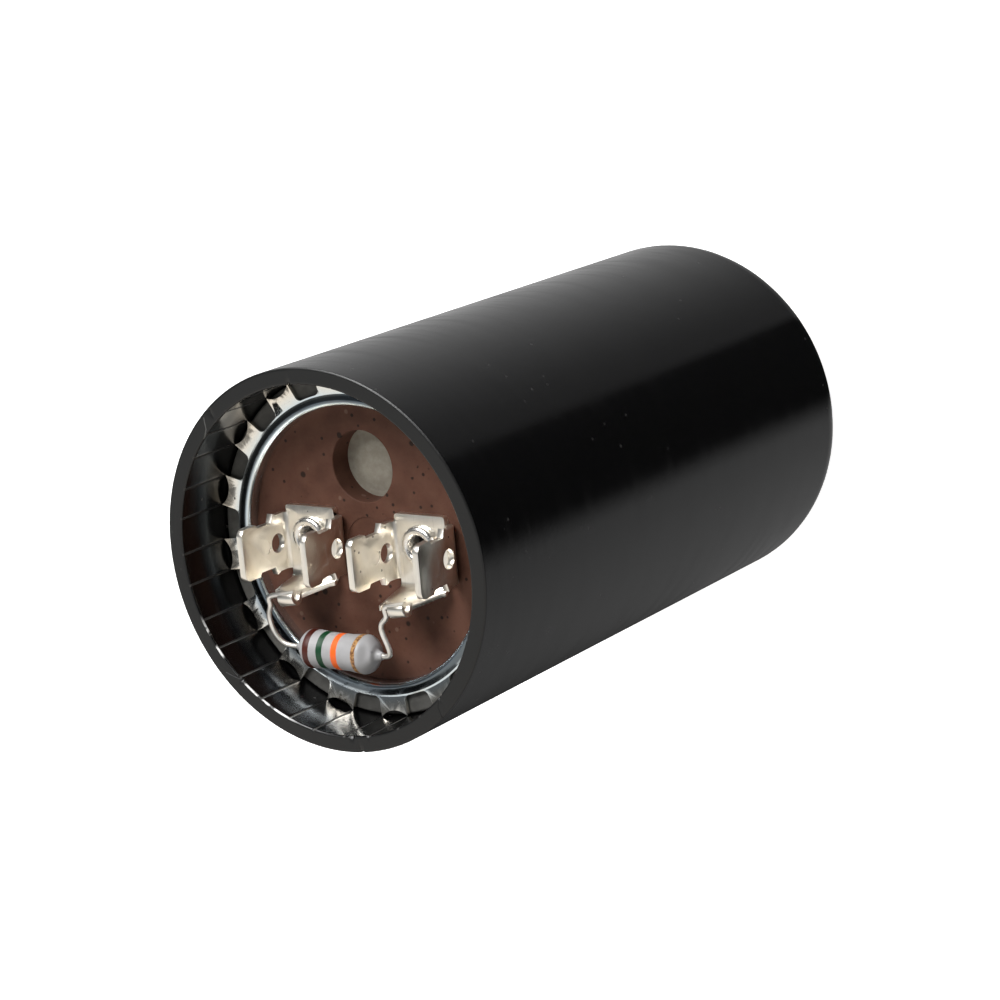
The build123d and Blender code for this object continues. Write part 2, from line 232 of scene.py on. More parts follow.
# %% A finish under construction
class Finish:
    """A material under construction, with its Principled shader and helpers for patterns."""

    def __init__(self, name, tree=None):
        if tree is None:
            self.material = bpy.data.materials.new(name)
            self.material.use_nodes = True
            tree = self.material.node_tree
        self.tree = tree
        self.shader = tree.nodes.get("Principled BSDF")
        self.coordinates = None

    def node(self, kind, settings, *values, output=0, **named):
        """Add a node: its settings first, then its inputs by order or by name, and give one output."""
        new = self.tree.nodes.new(kind)
        for key, value in settings.items():
            setattr(new, key, value)
        pairs = list(enumerate(values)) + [(key.replace("_", " "), value) for key, value in named.items()]
        for key, value in pairs:
            self.feed(new.inputs[key], value)
        return Value(self, new.outputs[output])

    def feed(self, socket, value):
        """Link a Value to a socket, or set the socket to a number or a colour."""
        if isinstance(value, Value):
            self.tree.links.new(value.socket, socket)
        elif hasattr(value, "__len__") and len(value) == 3 and len(socket.default_value) == 4:
            socket.default_value = (*value, 1)
        elif value is not None:
            socket.default_value = value

    def set(self, **values):
        """Set or link the Principled shader's inputs, and give the material."""
        for key, value in values.items():
            self.feed(self.shader.inputs[key.replace("_", " ")], value)
        return self.material

    def fed(self, name):
        """What feeds one of the Principled shader's inputs so far."""
        return Value(self, self.shader.inputs[name].links[0].from_socket)

    def place(self):
        """Object coordinates, in metres."""
        if self.coordinates is None:
            self.coordinates = self.node("ShaderNodeTexCoord", {}, output="Object")
        return self.coordinates

    def axes(self):
        """X, Y and Z of the place, in millimetres."""
        split = self.node("ShaderNodeSeparateXYZ", {}, self.place())
        outputs = split.socket.node.outputs
        return [Value(self, outputs[i]) * 1000 for i in range(3)]

    def noise(self, size, detail=3.0, roughness=0.55, stretch=(1, 1, 1), distortion=0.0):
        """Noise from 0 to 1 whose features measure about size, in millimetres."""
        scaled = self.node("ShaderNodeVectorMath", {"operation": "MULTIPLY"}, self.place(), stretch)
        return self.node("ShaderNodeTexNoise", {}, Vector=scaled, Scale=1000 / size, Detail=detail,
                         Roughness=roughness, Distortion=distortion)

    def specks(self, size, share, seed=0.0):
        """1 in small round specks, 0 elsewhere; share is the part of the cells that hold one."""
        shifted = self.node("ShaderNodeVectorMath", {"operation": "ADD"}, self.place(), (seed, seed, seed))
        cells = self.node("ShaderNodeTexVoronoi", {}, Vector=shifted, Scale=1000 / size)
        chance = self.node("ShaderNodeSeparateColor", {}, Value(self, cells.socket.node.outputs["Color"]))
        chosen = chance.step(share, share * 0.9)
        return cells.step(0.32, 0.2) * chosen

    def mix(self, amount, first, second):
        """first where amount is 0 and second where it is 1; either may be a colour or a Value."""
        new = self.tree.nodes.new("ShaderNodeMix")
        new.data_type = "RGBA"
        self.feed(new.inputs["Factor"], amount)
        colours = [socket for socket in new.inputs if socket.type == "RGBA"]
        self.feed(colours[0], first)
        self.feed(colours[1], second)
        result = [socket for socket in new.outputs if socket.type == "RGBA"]
        return Value(self, result[0])

    def line(self, x, y, points, width):
        """1 along a broken line through points of (x, y), fading to 0 at width from it.

        The nearest place on a stretch lies at the share (offset . run) / (run . run) of it, held to
        0 to 1."""
        mask = None
        for (x0, y0), (x1, y1) in zip(points, points[1:]):
            run, rise = x1 - x0, y1 - y0
            along = (((x - x0) * run + (y - y0) * rise) / (run * run + rise * rise)).clamp()
            gap = ((x - x0 - along * run) ** 2.0 + (y - y0 - along * rise) ** 2.0) ** 0.5
            near = gap.step(width, 0.4 * width)
            mask = near if mask is None else mask.maths("MAXIMUM", near)
        return mask

    def bump(self, height, depth, normal=None):
        """A normal from a height between 0 and 1 whose full step is depth, in millimetres."""
        return self.node("ShaderNodeBump", {}, Strength=1.0, Distance=depth * MM, Height=height,
                         Normal=normal)


def wear(node_name, material):
    """Give a CAD node or a piece a material in every slot that it has."""
    obj = nodes[node_name] if isinstance(node_name, str) else node_name
    if not obj.material_slots:
        obj.data.materials.append(material)
    for slot in obj.material_slots:
        slot.material = material


print("a finish offers", [name for name in vars(Finish) if not name.startswith("_")])

# %% [markdown]
# ## The world
#
# In the photograph the capacitor lies on a white table. Its side faces +Y there, so the table lies
# towards -Y. Camera rays see plain white. Everything else sees that studio: a bright table below the
# horizon, warm near the object and cool far off, and a dim room above it. Flat plated faces mirror the
# far table and come out bright, and the black rim picks up only a twentieth of it. An even white world
# would be simpler, but the metal would then mirror the same white on every side and lose its form.

# %% Fill the world
TABLE = 0.84
DIM_ROOM = 0.09
HORIZON = (0.12, -0.16)
FAR_TABLE = (0.90, 0.95, 1.0)
NEAR_TABLE = (1.0, 0.965, 0.91)
TABLE_NORMAL = (UP - UP[2] * np.array([0, 0, 1])) / np.linalg.norm(UP[:2])
world = bpy.data.worlds.new("studio")
bpy.context.scene.world = world
world.use_nodes = True
room = Finish("studio", world.node_tree)
direction = room.node("ShaderNodeTexCoord", {}, output="Generated")
aloft = room.node("ShaderNodeVectorMath", {"operation": "DOT_PRODUCT"}, direction, tuple(TABLE_NORMAL),
                  output="Value")
brightness = DIM_ROOM + (TABLE - DIM_ROOM) * aloft.step(*HORIZON)
tint = room.mix(aloft.step(0.0, -0.3), FAR_TABLE, NEAR_TABLE)
camera_ray = room.node("ShaderNodeLightPath", {}, output="Is Camera Ray")
background = world.node_tree.nodes["Background"]
room.feed(background.inputs["Color"], room.mix(camera_ray, tint, (1, 1, 1)))
room.feed(background.inputs["Strength"], brightness * (1 - camera_ray) + camera_ray)
print("the photograph's table faces", TABLE_NORMAL.round(2))

# %% [markdown]
# ## The floor
#
# A white sheet lies under the closed end. The camera sees it white apart from the object's own soft
# shadow. What the glossy case mirrors is set apart, through Light Path: a side of an upright case, seen
# from above, mirrors the sheet around its foot. There the studio is half bright, with a black flag lying
# in front. A cylinder mirrors as if from the line half-way between its axis and its wall, so the flag is
# a wedge that starts there, and angles round that line draw its two edges.

# %% Make the floor
FLOOR_SIZE = 3.0
FLOOR_GLOW = 0.8
FOCUS = 0.25 * (cad_box[1][0] - cad_box[0][0])
bpy.ops.mesh.primitive_plane_add(size=FLOOR_SIZE, location=(0, 0, 0))
floor = bpy.context.object
floor.name = "floor"
paper = Finish("white_floor")
front = -FORWARD[:2] / np.linalg.norm(FORWARD[:2])
ahead = paper.node("ShaderNodeVectorMath", {"operation": "DOT_PRODUCT"}, paper.place(), (*front, 0),
                   output="Value")
aside = paper.node("ShaderNodeVectorMath", {"operation": "DOT_PRODUCT"}, paper.place(),
                   (-front[1], front[0], 0), output="Value")
turn = aside.maths("ARCTAN2", ahead - FOCUS) * (180 / math.pi)
left_of_flag = 0.39 * turn.step(-27, -46) * turn.step(-160, -60)
right_of_flag = 0.14 * turn.step(24, 31) + 0.36 * turn.step(32, 120)
mirrored = left_of_flag + right_of_flag
light_path = paper.node("ShaderNodeLightPath", {}, output="Is Camera Ray")
glossy_ray = Value(paper, light_path.socket.node.outputs["Is Glossy Ray"])
paper.set(Base_Color=0.9 * (1 - glossy_ray), Roughness=0.9, Emission_Strength=1.0,
          Emission_Color=light_path * FLOOR_GLOW + glossy_ray * mirrored)
wear(floor, paper.material)
print("the flag's wedge starts", round(FOCUS / MM, 2), "mm off the axis")

# %% [markdown]
# ## Profiles
#
# A turned form starts as a profile of radii and heights. A Bevel modifier could round its corners, but
# an arc between two tangent points is exact and puts every row where it is wanted. One more point lies
# just outside each end of an arc, so that the flat stretches keep flat shading.


# %% Rounded profiles
def unit(vector):
    """The vector over its own length."""
    return vector / np.linalg.norm(vector)


def rounded(corners, steps=6, guard=0.12):
    """A profile of (x, y) points from corners given as (x, y, rounding), in millimetres.

    An arc of radius r touches both sides at r / tan(half the corner's angle), and its centre lies on the
    bisector at r / sin(half the angle)."""
    corners = np.array(corners, float)
    points = [corners[0, :2]]
    for before, corner, after in zip(corners, corners[1:], corners[2:]):
        place, rounding = corner[:2], corner[2]
        back = unit(before[:2] - place)
        on = unit(after[:2] - place)
        half = 0.5 * math.acos(back @ on)
        reach = rounding / math.tan(half)
        centre = place + unit(back + on) * rounding / math.sin(half)
        start = place + back * reach - centre
        end = place + on * reach - centre
        sweep = math.pi - 2 * half
        share = np.linspace(0, 1, steps)[:, None]
        arc = centre + (start * np.sin((1 - share) * sweep) + end * np.sin(share * sweep)) / math.sin(sweep)
        points += [place + back * (reach + guard), *arc, place + on * (reach + guard)]
    points.append(corners[-1, :2])
    return np.array(points)


def filled(points, gap):
    """The same line with more points, so that no step is much longer than gap."""
    length = np.concatenate([[0], np.cumsum(np.linalg.norm(np.diff(points, axis=0), axis=1))])
    extra = np.arange(gap, length[-1], gap)
    nearest = np.abs(extra[:, None] - length[None, :]).min(axis=1)
    every = np.sort(np.concatenate([length, extra[nearest > 0.4 * gap]]))
    return np.stack([np.interp(every, length, points[:, i]) for i in range(2)], axis=1)


print("a square corner rounded by 1 mm:", len(rounded([(0, 0, 0), (5, 0, 1), (5, 5, 0)])), "points")

# %% [markdown]
# ## Surfaces from grids
#
# A profile becomes a surface when each column of a grid turns it to one angle. Spin would do it in edit
# mode, one shape for all angles. Whole arrays let the radius and the height differ from column to
# column, which is what chips, dents and scores need.


# %% Turned surfaces
def turned(radius, height, angles, to_frame=None, origin=(0, 0, 0)):
    """Points and faces of a profile carried round an axis.

    Point (row, column) lies at (radius cos angle, radius sin angle, height). The first and the last row lie
    on the axis, so each becomes one point. to_frame turns the points when the axis isn't Z."""
    grid = np.stack([radius * np.cos(angles), radius * np.sin(angles), height], axis=2)
    rows, columns = radius.shape
    points = np.concatenate([grid[1:-1].reshape(-1, 3), grid[:1, 0], grid[-1:, 0]])
    here = np.arange((rows - 2) * columns).reshape(rows - 2, columns)
    beside = np.roll(here, -1, axis=1)
    quads = np.stack([here[:-1], beside[:-1], beside[1:], here[1:]], axis=2).reshape(-1, 4)
    first, last = np.full(columns, len(points) - 2), np.full(columns, len(points) - 1)
    ends = np.concatenate([np.stack([first, beside[0], here[0]], axis=1),
                           np.stack([last, here[-1], beside[-1]], axis=1)])
    if to_frame is not None:
        points = points @ np.array(to_frame, float)
    return points + np.array(origin), quads.tolist() + ends.tolist()


def surface(name, points, faces, stands_for, material):
    """A smooth-shaded piece at the origin, from points in millimetres, in place of a CAD node."""
    mesh = bpy.data.meshes.new(name)
    mesh.from_pydata((points * MM).tolist(), [], faces)
    mesh.shade_smooth()
    obj = bpy.data.objects.new(name, mesh)
    bpy.context.scene.collection.objects.link(obj)
    wear(obj, material)
    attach(obj, "root")
    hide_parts(stands_for)


def bell(distance, width):
    """1 at distance 0, falling to 0 at width and beyond: s s (3 - 2 s), where s is 1 - distance / width."""
    share = np.clip(1 - np.abs(distance) / width, 0, 1)
    return share * share * (3 - 2 * share)


print("a bell at a half of its width:", bell(0.5, 1.0))

# %% [markdown]
# ## Softened edges
#
# A stamped or pressed part has no sharp edge: a twentieth of a millimetre of roundness catches the light
# along each one. The CAD solids of the metal parts already have their right shape, so a copy is merged,
# its flat triangles are joined, and a Bevel modifier rounds what is left.


# %% Soften a CAD piece
SOFT_SEGMENTS = 2
FLAT_WITHIN = math.radians(0.4)
EDGE_FROM = math.radians(30)


def softened(node_name, width, material):
    """A copy of a CAD piece with its edges rounded off by width millimetres. It stands for the node."""
    form = bmesh.new()
    form.from_mesh(nodes[node_name].data)
    bmesh.ops.remove_doubles(form, verts=form.verts, dist=1e-6)
    bmesh.ops.dissolve_limit(form, angle_limit=FLAT_WITHIN, verts=form.verts, edges=form.edges)
    mesh = bpy.data.meshes.new(node_name + "_soft")
    form.to_mesh(mesh)
    form.free()
    mesh.shade_smooth()
    obj = bpy.data.objects.new(node_name + "_soft", mesh)
    bpy.context.scene.collection.objects.link(obj)
    bevel = obj.modifiers.new("soft_edges", "BEVEL")
    bevel.width = width * MM
    bevel.segments = SOFT_SEGMENTS
    bevel.limit_method = "ANGLE"
    bevel.angle_limit = EDGE_FROM
    bevel.harden_normals = True
    wear(obj, material)
    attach(obj, "root")
    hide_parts(node_name)


print("edges sharper than", round(math.degrees(EDGE_FROM)), "degrees are softened")

# %% [markdown]
# ## Black phenolic
#
# The case is one moulding in three states. Its walls are glossy, the cut face of the rim is a satin
# charcoal, and the bore is scored where each tooth of the ring was pushed down it. Three materials would
# need seams between them, so one material tells the states apart by radius and height. The scores come
# in pairs, one for each corner of a tooth, and one formula on the angle draws them in the colour and,
# further down, in the mesh.

# %% Where the case is rim, bore and score
CASE_R = 1000 * cad_box[1][0]
CASE_H = 1000 * cad_box[1][2]
MOUTH_R = 21.0
TOOTH_COUNT = 16
TOOTH_PITCH = 22.5
TOOTH_ANGLE = 7.1
SCORE_ANGLE = 5.2
SCORE_FOOT = 77.4
phenolic = Finish("black_phenolic")
x, y, z = phenolic.axes()
radius = (x * x + y * y) ** 0.5
angle = y.maths("ARCTAN2", x) * (180 / math.pi)
half_pitch = TOOTH_PITCH / 2
in_pitch = abs((angle - TOOTH_ANGLE + half_pitch).maths("FLOORED_MODULO", TOOTH_PITCH) - half_pitch)
in_bore = radius.step(MOUTH_R + 0.3, MOUTH_R + 0.1) * z.step(SCORE_FOOT - 0.3, SCORE_FOOT + 0.5)
ragged = phenolic.noise(0.7, detail=4.0)
score = abs(in_pitch - SCORE_ANGLE + 0.3 * (ragged - 0.5)).step(0.55, 0.2) * in_bore
on_top = z.step(CASE_H - 0.3, CASE_H - 0.1)
rim = on_top * radius.step(MOUTH_R + 0.02, MOUTH_R + 0.16)
print("score lines at", SCORE_ANGLE, "degrees from the middle of each tooth")

# %% [markdown]
# ## Wear and a painted highlight on the case
#
# This capacitor has been handled: a scratch and two cracks cross the rim, and dust lies on the walls.
# Over an eighth of the way round, the rim's inner edge carries a painted highlight: a pale line in the
# colour, where a lamp's glint would fall. Each mark is a mask between 0 and 1.
# The cracks and the scratch are broken lines in X and Y, and a little noise makes them wander. Painting
# them on an image would tie them to pixels, and a formula stays sharp at any distance.

# %% The case's finish
RIM_SCRATCH = [(-15.45, 16.4), (-15.3, 15.05), (-15.65, 14.1), (-16.25, 12.95)]
LEFT_CRACK = [(-13.84, -15.61), (-14.9, -15.3), (-16.3, -14.8)]
RIGHT_CRACK = [(14.97, -14.65), (14.9, -15.9), (15.3, -17.1)]
HIGHLIGHT_ANGLE = -132
HIGHLIGHT_BREAK = -136
BLACK = (0.0010, 0.0010, 0.0012)
CUT_BLACK = (0.0025, 0.0025, 0.0024)
SCORED = (0.05, 0.047, 0.043)
SCRATCHED = (0.12, 0.12, 0.115)
CRACKED = (0.0005, 0.0005, 0.0005)
# painted highlight: the pale colour of a line along the rim's inner edge, standing in for a lamp's glint
PAINTED_HIGHLIGHT_PALE = (0.75, 0.75, 0.74)
DUSTY = (0.2, 0.2, 0.19)
wander = 0.25 * (phenolic.noise(0.8) - 0.5)
scratch = phenolic.line(x + wander, y - wander, RIM_SCRATCH, 0.11) * on_top
cracks = [phenolic.line(x + wander, y - wander, points, 0.12) for points in (LEFT_CRACK, RIGHT_CRACK)]
crack = (cracks[0] + cracks[1]).clamp() * on_top
# painted highlight: a pale line in the colour along the rim's inner edge, over an eighth of the way round,
# broken by noise
edge = abs(radius - MOUTH_R - 0.08).step(0.13, 0.05) * z.step(CASE_H - 0.25, CASE_H - 0.15)
on_arc = abs(angle - HIGHLIGHT_ANGLE).step(26, 18) * abs(angle - HIGHLIGHT_BREAK).step(5, 7)
painted_edge_highlight = edge * on_arc * phenolic.noise(2.5).step(0.38, 0.46)
dust = phenolic.specks(0.7, 0.03) * phenolic.noise(9.0).step(0.45, 0.6)
base = phenolic.mix(rim, BLACK, CUT_BLACK)
base = phenolic.mix(0.6 * score * z.step(79, 84), base, SCORED)
base = phenolic.mix(0.6 * scratch, base, SCRATCHED)
base = phenolic.mix(crack, base, CRACKED)
base = phenolic.mix(painted_edge_highlight, base, PAINTED_HIGHLIGHT_PALE)
base = phenolic.mix(dust * (0.08 + 0.3 * radius.step(MOUTH_R + 1, MOUTH_R)), base, DUSTY)

satin = phenolic.noise(0.35, detail=4.0)
grime = phenolic.noise(14.0, detail=5.0).step(0.45, 0.75)
rubbed = phenolic.noise(1.7, detail=2.0, stretch=(0.14, 0.14, 1)).step(0.40, 0.66)
dullness = 0.10 + 0.05 * grime + 0.085 * rubbed + 0.22 * rim + 0.3 * score + 0.2 * dust + 0.3 * crack
relief = phenolic.bump(satin, 0.01, phenolic.bump(phenolic.noise(7.0, detail=1.0), 0.03))
relief = phenolic.bump(1 - (crack + 0.6 * scratch).clamp(), 0.06, relief)
phenolic.set(Base_Color=base, Roughness=dullness + 0.05 * satin, Normal=relief)
print("black phenolic has", len(phenolic.tree.nodes), "nodes")

# %% [markdown]
# ## The case, worked out with numpy
#
# The cup's profile runs from the middle of the closed end, up the outside, over the rim, down the bore
# to the ledge and along the inside to the middle of the floor. Its rows lie close together near the
# mouth, where chips and scores change the shape, and far apart elsewhere.

# %% The case's profile
LEDGE_Z = 70.7
BORE_R = 19.8
FLOOR_Z = 3.0
CLOSED_END_R = 4.3
FLOOR_CORNER_R = 1.5
RIM_EDGE_R = 0.25
LEDGE_EDGE_R = 0.08
outside = filled(rounded([(0, 0, 0), (CASE_R, 0, CLOSED_END_R), (CASE_R, CASE_H - 7, 0)], steps=12), 6.0)
mouth = filled(rounded([(CASE_R, CASE_H - 6, 0), (CASE_R, CASE_H, RIM_EDGE_R),
                        (MOUTH_R, CASE_H, RIM_EDGE_R), (MOUTH_R, LEDGE_Z, LEDGE_EDGE_R),
                        (BORE_R, LEDGE_Z, LEDGE_EDGE_R), (BORE_R, LEDGE_Z - 2, 0)], steps=7), 1.0)
inside = filled(rounded([(BORE_R, LEDGE_Z - 3, 0), (BORE_R, FLOOR_Z, FLOOR_CORNER_R), (0, FLOOR_Z, 0)],
                        steps=8), 6.0)
profile = np.concatenate([outside, mouth, inside])
print("profile of", len(outside), "+", len(mouth), "+", len(inside), "rows")

# %% [markdown]
# ## Scores and chips
#
# The mouth is not whole: the teeth scored its bore, and the edges of its rim are chipped. Displacement
# would need a fine mesh all over. Here only the columns crowd together at every score and chip, so a
# groove four hundredths of a millimetre deep is really there.

# %% Crowd the columns where the marks are
# each chip: angle, radius, half-width in degrees, half-width across, depth
RIM_CHIPS = [(130.1, 22.4, 1.1, 0.6, 0.35), (-82.4, 23.0, 1.2, 0.55, 0.4), (-84.8, 20.95, 1.4, 0.5, 0.45),
             (-78.2, 21.0, 0.7, 0.35, 0.25), (-100.6, 21.0, 0.6, 0.3, 0.2), (-44.6, 20.95, 0.6, 0.5, 0.4),
             (96.2, 21.0, 1.3, 0.5, 0.35), (92.0, 20.98, 0.6, 0.3, 0.2), (-131.8, 21.0, 0.7, 0.35, 0.25)]
LEAST_STEP = 0.06
tooth_angles = TOOTH_ANGLE + TOOTH_PITCH * np.arange(TOOTH_COUNT)
score_angles = np.concatenate([tooth_angles - SCORE_ANGLE, tooth_angles + SCORE_ANGLE])
columns = [np.arange(0, 360, 1.0), (score_angles[:, None] + np.linspace(-0.45, 0.45, 7)).ravel()]
columns += [chip[0] + np.linspace(-1.2, 1.2, 13) * chip[2] for chip in RIM_CHIPS]
degrees = np.unique(np.round(np.concatenate(columns) % 360, 2))
degrees = degrees[np.concatenate([[True], np.diff(degrees) > LEAST_STEP])]
print(len(degrees), "columns for", len(score_angles), "scores and", len(RIM_CHIPS), "chips")

# %% The case shell
SCORE_DEPTH = 0.045
radius = np.repeat(profile[:, :1], len(degrees), axis=1)
height = np.repeat(profile[:, 1:], len(degrees), axis=1)
off_pitch = np.abs((degrees - TOOTH_ANGLE + TOOTH_PITCH / 2) % TOOTH_PITCH - TOOTH_PITCH / 2)
on_bore = (np.abs(radius - MOUTH_R) < 0.3) & (height > LEDGE_Z + 1)
scored = on_bore * bell(np.minimum(height - SCORE_FOOT, 0), 0.8) * bell(off_pitch - SCORE_ANGLE, 0.42)
radius = radius + SCORE_DEPTH * scored
for chip_angle, chip_radius, wide, across, depth in RIM_CHIPS:
    off = (degrees - chip_angle + 180) % 360 - 180
    jagged = 1 + 0.25 * np.sin(off / wide * 7 + chip_angle)
    near_top = bell(np.minimum(height - CASE_H, 0), 2.5)
    bite = bell(off * jagged, wide) * bell(radius - chip_radius, across) * near_top
    height = height - depth * bite
case_points, case_faces = turned(radius, height, np.radians(degrees))
surface("case_shell", case_points, case_faces, "case", phenolic.material)
print("case shell:", len(case_faces), "faces, scored", SCORE_DEPTH, "mm deep")

# %% [markdown]
# ## The bleed resistor's coat
#
# The resistor between the terminals has a grey lacquer with four bands of paint. On a real one they are
# rolled on, so their edges waver a little. Each band is a stripe along X with a little noise added to X.
# The fourth is gold: noise breaks it into dark and bright flakes.

# %% The resistor's coat
BAND_W = 0.85
GOLD_W = 0.62
GOLD_X = 0.70
BANDS = {-6.38: (0.06, 0.008, 0.003), -4.43: (0.001, 0.045, 0.014), -2.29: (0.85, 0.13, 0.012)}
GREYS = ((0.335, 0.33, 0.335), (0.40, 0.395, 0.40))
PINHOLE = (0.12, 0.12, 0.13)
GOLDS = ((0.15, 0.055, 0.016), (0.46, 0.25, 0.085))
coat = Finish("resistor_coat")
x, y, z = coat.axes()
wobble = x + 0.14 * (coat.noise(1.6, detail=2.0) - 0.5)
painted = coat.mix(coat.noise(1.1), *GREYS)
painted = coat.mix(0.6 * coat.specks(0.8, 0.1), painted, PINHOLE)
for middle, colour in BANDS.items():
    stripe = abs(wobble - middle).step(BAND_W / 2 + 0.04, BAND_W / 2 - 0.04)
    painted = coat.mix(stripe, painted, colour)
gold = abs(wobble - GOLD_X + 0.14 * (coat.noise(0.5) - 0.5)).step(GOLD_W / 2 + 0.05, GOLD_W / 2 - 0.05)
flake = coat.mix(coat.noise(0.35, detail=4.0).step(0.4, 0.6), *GOLDS)
painted = coat.mix(gold, painted, flake)
coat.set(Base_Color=painted, Roughness=0.34 + 0.12 * coat.noise(0.6),
         Normal=coat.bump(coat.noise(0.9, detail=2.0), 0.03))
print("coat with bands at x =", [*BANDS, GOLD_X])

# %% [markdown]
# ## The bleed resistor's body
#
# A film resistor is dipped and baked, so its coat is never quite round: it swells over the end caps and
# slumps where the lead comes out. A cylinder with bevelled ends would look machined. A smooth curve
# through a few radii gives the swelling, and the slump and dents are bells taken off the radius.

# %% The resistor's outline
def flowing(knots, steps=6):
    """A Catmull-Rom curve through the knots.

    Its slope at each knot is half the step from the knot before to the next one."""
    padded = np.concatenate([2 * knots[:1] - knots[1:2], knots, 2 * knots[-1:] - knots[-2:-1]])
    before, start, stop, after = padded[:-3], padded[1:-2], padded[2:-1], padded[3:]
    t = np.linspace(0, 1, steps, endpoint=False)[:, None, None]
    curve = 0.5 * (2 * start + (stop - before) * t + (2 * before - 5 * start + 4 * stop - after) * t ** 2
                   + (3 * start - before - 3 * stop + after) * t ** 3)
    return np.concatenate([curve.transpose(1, 0, 2).reshape(-1, 2), knots[-1:]])


NECK = 0.7
LEAD_R = 0.325
body_low, body_high = (1000 * np.array(corner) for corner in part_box("resistor_body"))
coat_r = 0.5 * (body_high[2] - body_low[2])
cap_end = 0.5 * (body_high[0] - body_low[0]) - NECK
end = np.array([(LEAD_R + 0.12, cap_end + NECK), (LEAD_R + 0.38, cap_end), (0.62 * coat_r, cap_end - 0.35),
                (coat_r, cap_end - 1.4), (0.985 * coat_r, cap_end - 2.9), (0.945 * coat_r, cap_end - 3.9)])
outline = np.concatenate([flowing(end), flowing((end * (1, -1))[::-1])])[::-1]
outline = np.concatenate([[(0, -cap_end - NECK)], outline, [(0, cap_end + NECK)]])
print("outline of", len(outline), "rows, at most", round(coat_r, 3), "mm from the axis")

# %% The resistor's body
# each dent: place along the axis, angle from Y towards Z, half-length, half-width in degrees, depth
COAT_DENTS = [(4.75, 68, 0.8, 55, 0.34), (4.1, 20, 1.1, 45, 0.12), (-4.9, 110, 0.8, 60, 0.16),
              (1.2, 80, 2.2, 60, 0.05), (5.3, 200, 0.7, 80, 0.2), (3.9, 105, 0.9, 26, -0.08)]
ALONG_X = [(0, 1, 0), (0, 0, 1), (1, 0, 0)]
turns = np.arange(0, 360, 3.0)
radius = np.repeat(outline[:, :1], len(turns), axis=1)
height = np.repeat(outline[:, 1:], len(turns), axis=1)
for along, around, half_length, half_width, depth in COAT_DENTS:
    off = (turns - around + 180) % 360 - 180
    radius = radius - depth * bell(height - along, half_length) * bell(off, half_width) * (radius > 0.3)
body_points, body_faces = turned(radius, height, np.radians(turns), ALONG_X, 0.5 * (body_low + body_high))
surface("coated_body", body_points, body_faces, "resistor_body", coat.material)
print("resistor's body:", len(body_faces), "faces")

# %% [markdown]
# ## Metals
#
# Tin plate on brass is a warm, soft mirror: it carries fine scratches along the blades, dark pinholes
# and dull fingerprints. A plain metal shader looks like chrome, so roughness, tint and relief each vary.
# One function makes every metal of the object, from its two tints, its roughness and the size of its
# grain.


# %% Plated metals
PIT_BLACK = (0.06, 0.05, 0.04)
HANDLED = (0.35, 0.32, 0.27)


def plated(name, tints, roughness, grain, pits=0.1, stretch=(1, 1, 1), smear=0.5):
    """A metal whose tint drifts between two colours, with pinholes, scratches and dull patches."""
    metal = Finish(name)
    tint = metal.mix(metal.noise(3.2, detail=3.0).step(0.35, 0.65), *tints)
    holes = (metal.specks(0.55, pits) + 0.7 * metal.specks(1.1, 0.4 * pits, seed=0.02)).clamp()
    scratches = metal.noise(0.22, detail=2.0, stretch=stretch).step(0.60, 0.68)
    smears = metal.noise(1.8, detail=4.0, distortion=0.3).step(0.48, 0.75) * smear
    tint = metal.mix(0.75 * holes, tint, PIT_BLACK)
    tint = metal.mix(0.2 * smears + 0.1 * scratches, tint, HANDLED)
    relief = metal.bump(metal.noise(grain, detail=2.0), 0.003)
    relief = metal.bump(1 - holes, 0.02, relief)
    roughness = roughness + 0.14 * smears + 0.1 * scratches
    metal.set(Base_Color=tint, Metallic=1.0, Roughness=roughness, Normal=relief)
    return metal


tin = plated("tin_plate", ((1.0, 0.95, 0.86), (0.93, 0.88, 0.79)), 0.31, 0.9, 0.025, (1, 0.05, 0.3))
rivet_metal = plated("rivet_tin", ((1.0, 0.97, 0.92), (0.93, 0.90, 0.85)), 0.26, 0.5, 0.05)
wire = plated("tinned_wire", ((1.0, 0.97, 0.92), (0.88, 0.85, 0.79)), 0.38, 0.4, 0.06)
foil = plated("aluminium", ((0.86, 0.87, 0.88), (0.74, 0.75, 0.77)), 0.30, 0.5, 0.05, (1, 1, 0.05))
steel = plated("washer_steel", ((0.62, 0.62, 0.61), (0.48, 0.48, 0.47)), 0.32, 0.4, 0.1)
print("metals:", [metal.material.name for metal in (tin, rivet_metal, wire, foil, steel)])

# %% The terminals and what hangs on them
DIE_CORNER = [(0.85, 80.75), (-1.5, 80.45), (-1.55, 81.6)]
DIE_BRIGHT = (1.0, 0.98, 0.94)
SOFT_STAMPING = 0.07
x, y, z = tin.axes()
# the die left a fine bright corner on the right-hand blade of each terminal, at x = -2.7 and x = 13.5
on_blade = (abs(x + 2.7).step(0.7, 0.5) + abs(x - 13.5).step(0.7, 0.5)).clamp()
die_line = tin.line(y, z, DIE_CORNER, 0.09) * on_blade
tin.set(Base_Color=tin.mix(0.7 * die_line, tin.fed("Base Color"), DIE_BRIGHT),
        Roughness=tin.fed("Roughness") + 0.35 * die_line)
for side in ("left", "right"):
    softened(f"terminal_{side}", SOFT_STAMPING, tin.material)
    softened(f"rivet_{side}", SOFT_STAMPING, rivet_metal.material)
    wear(f"resistor_lead_{side}", wire.material)
    wear(f"foil_tab_{side}", foil.material)
    wear(f"washer_{side}", steel.material)
print("terminals and rivets softened by", SOFT_STAMPING, "mm")
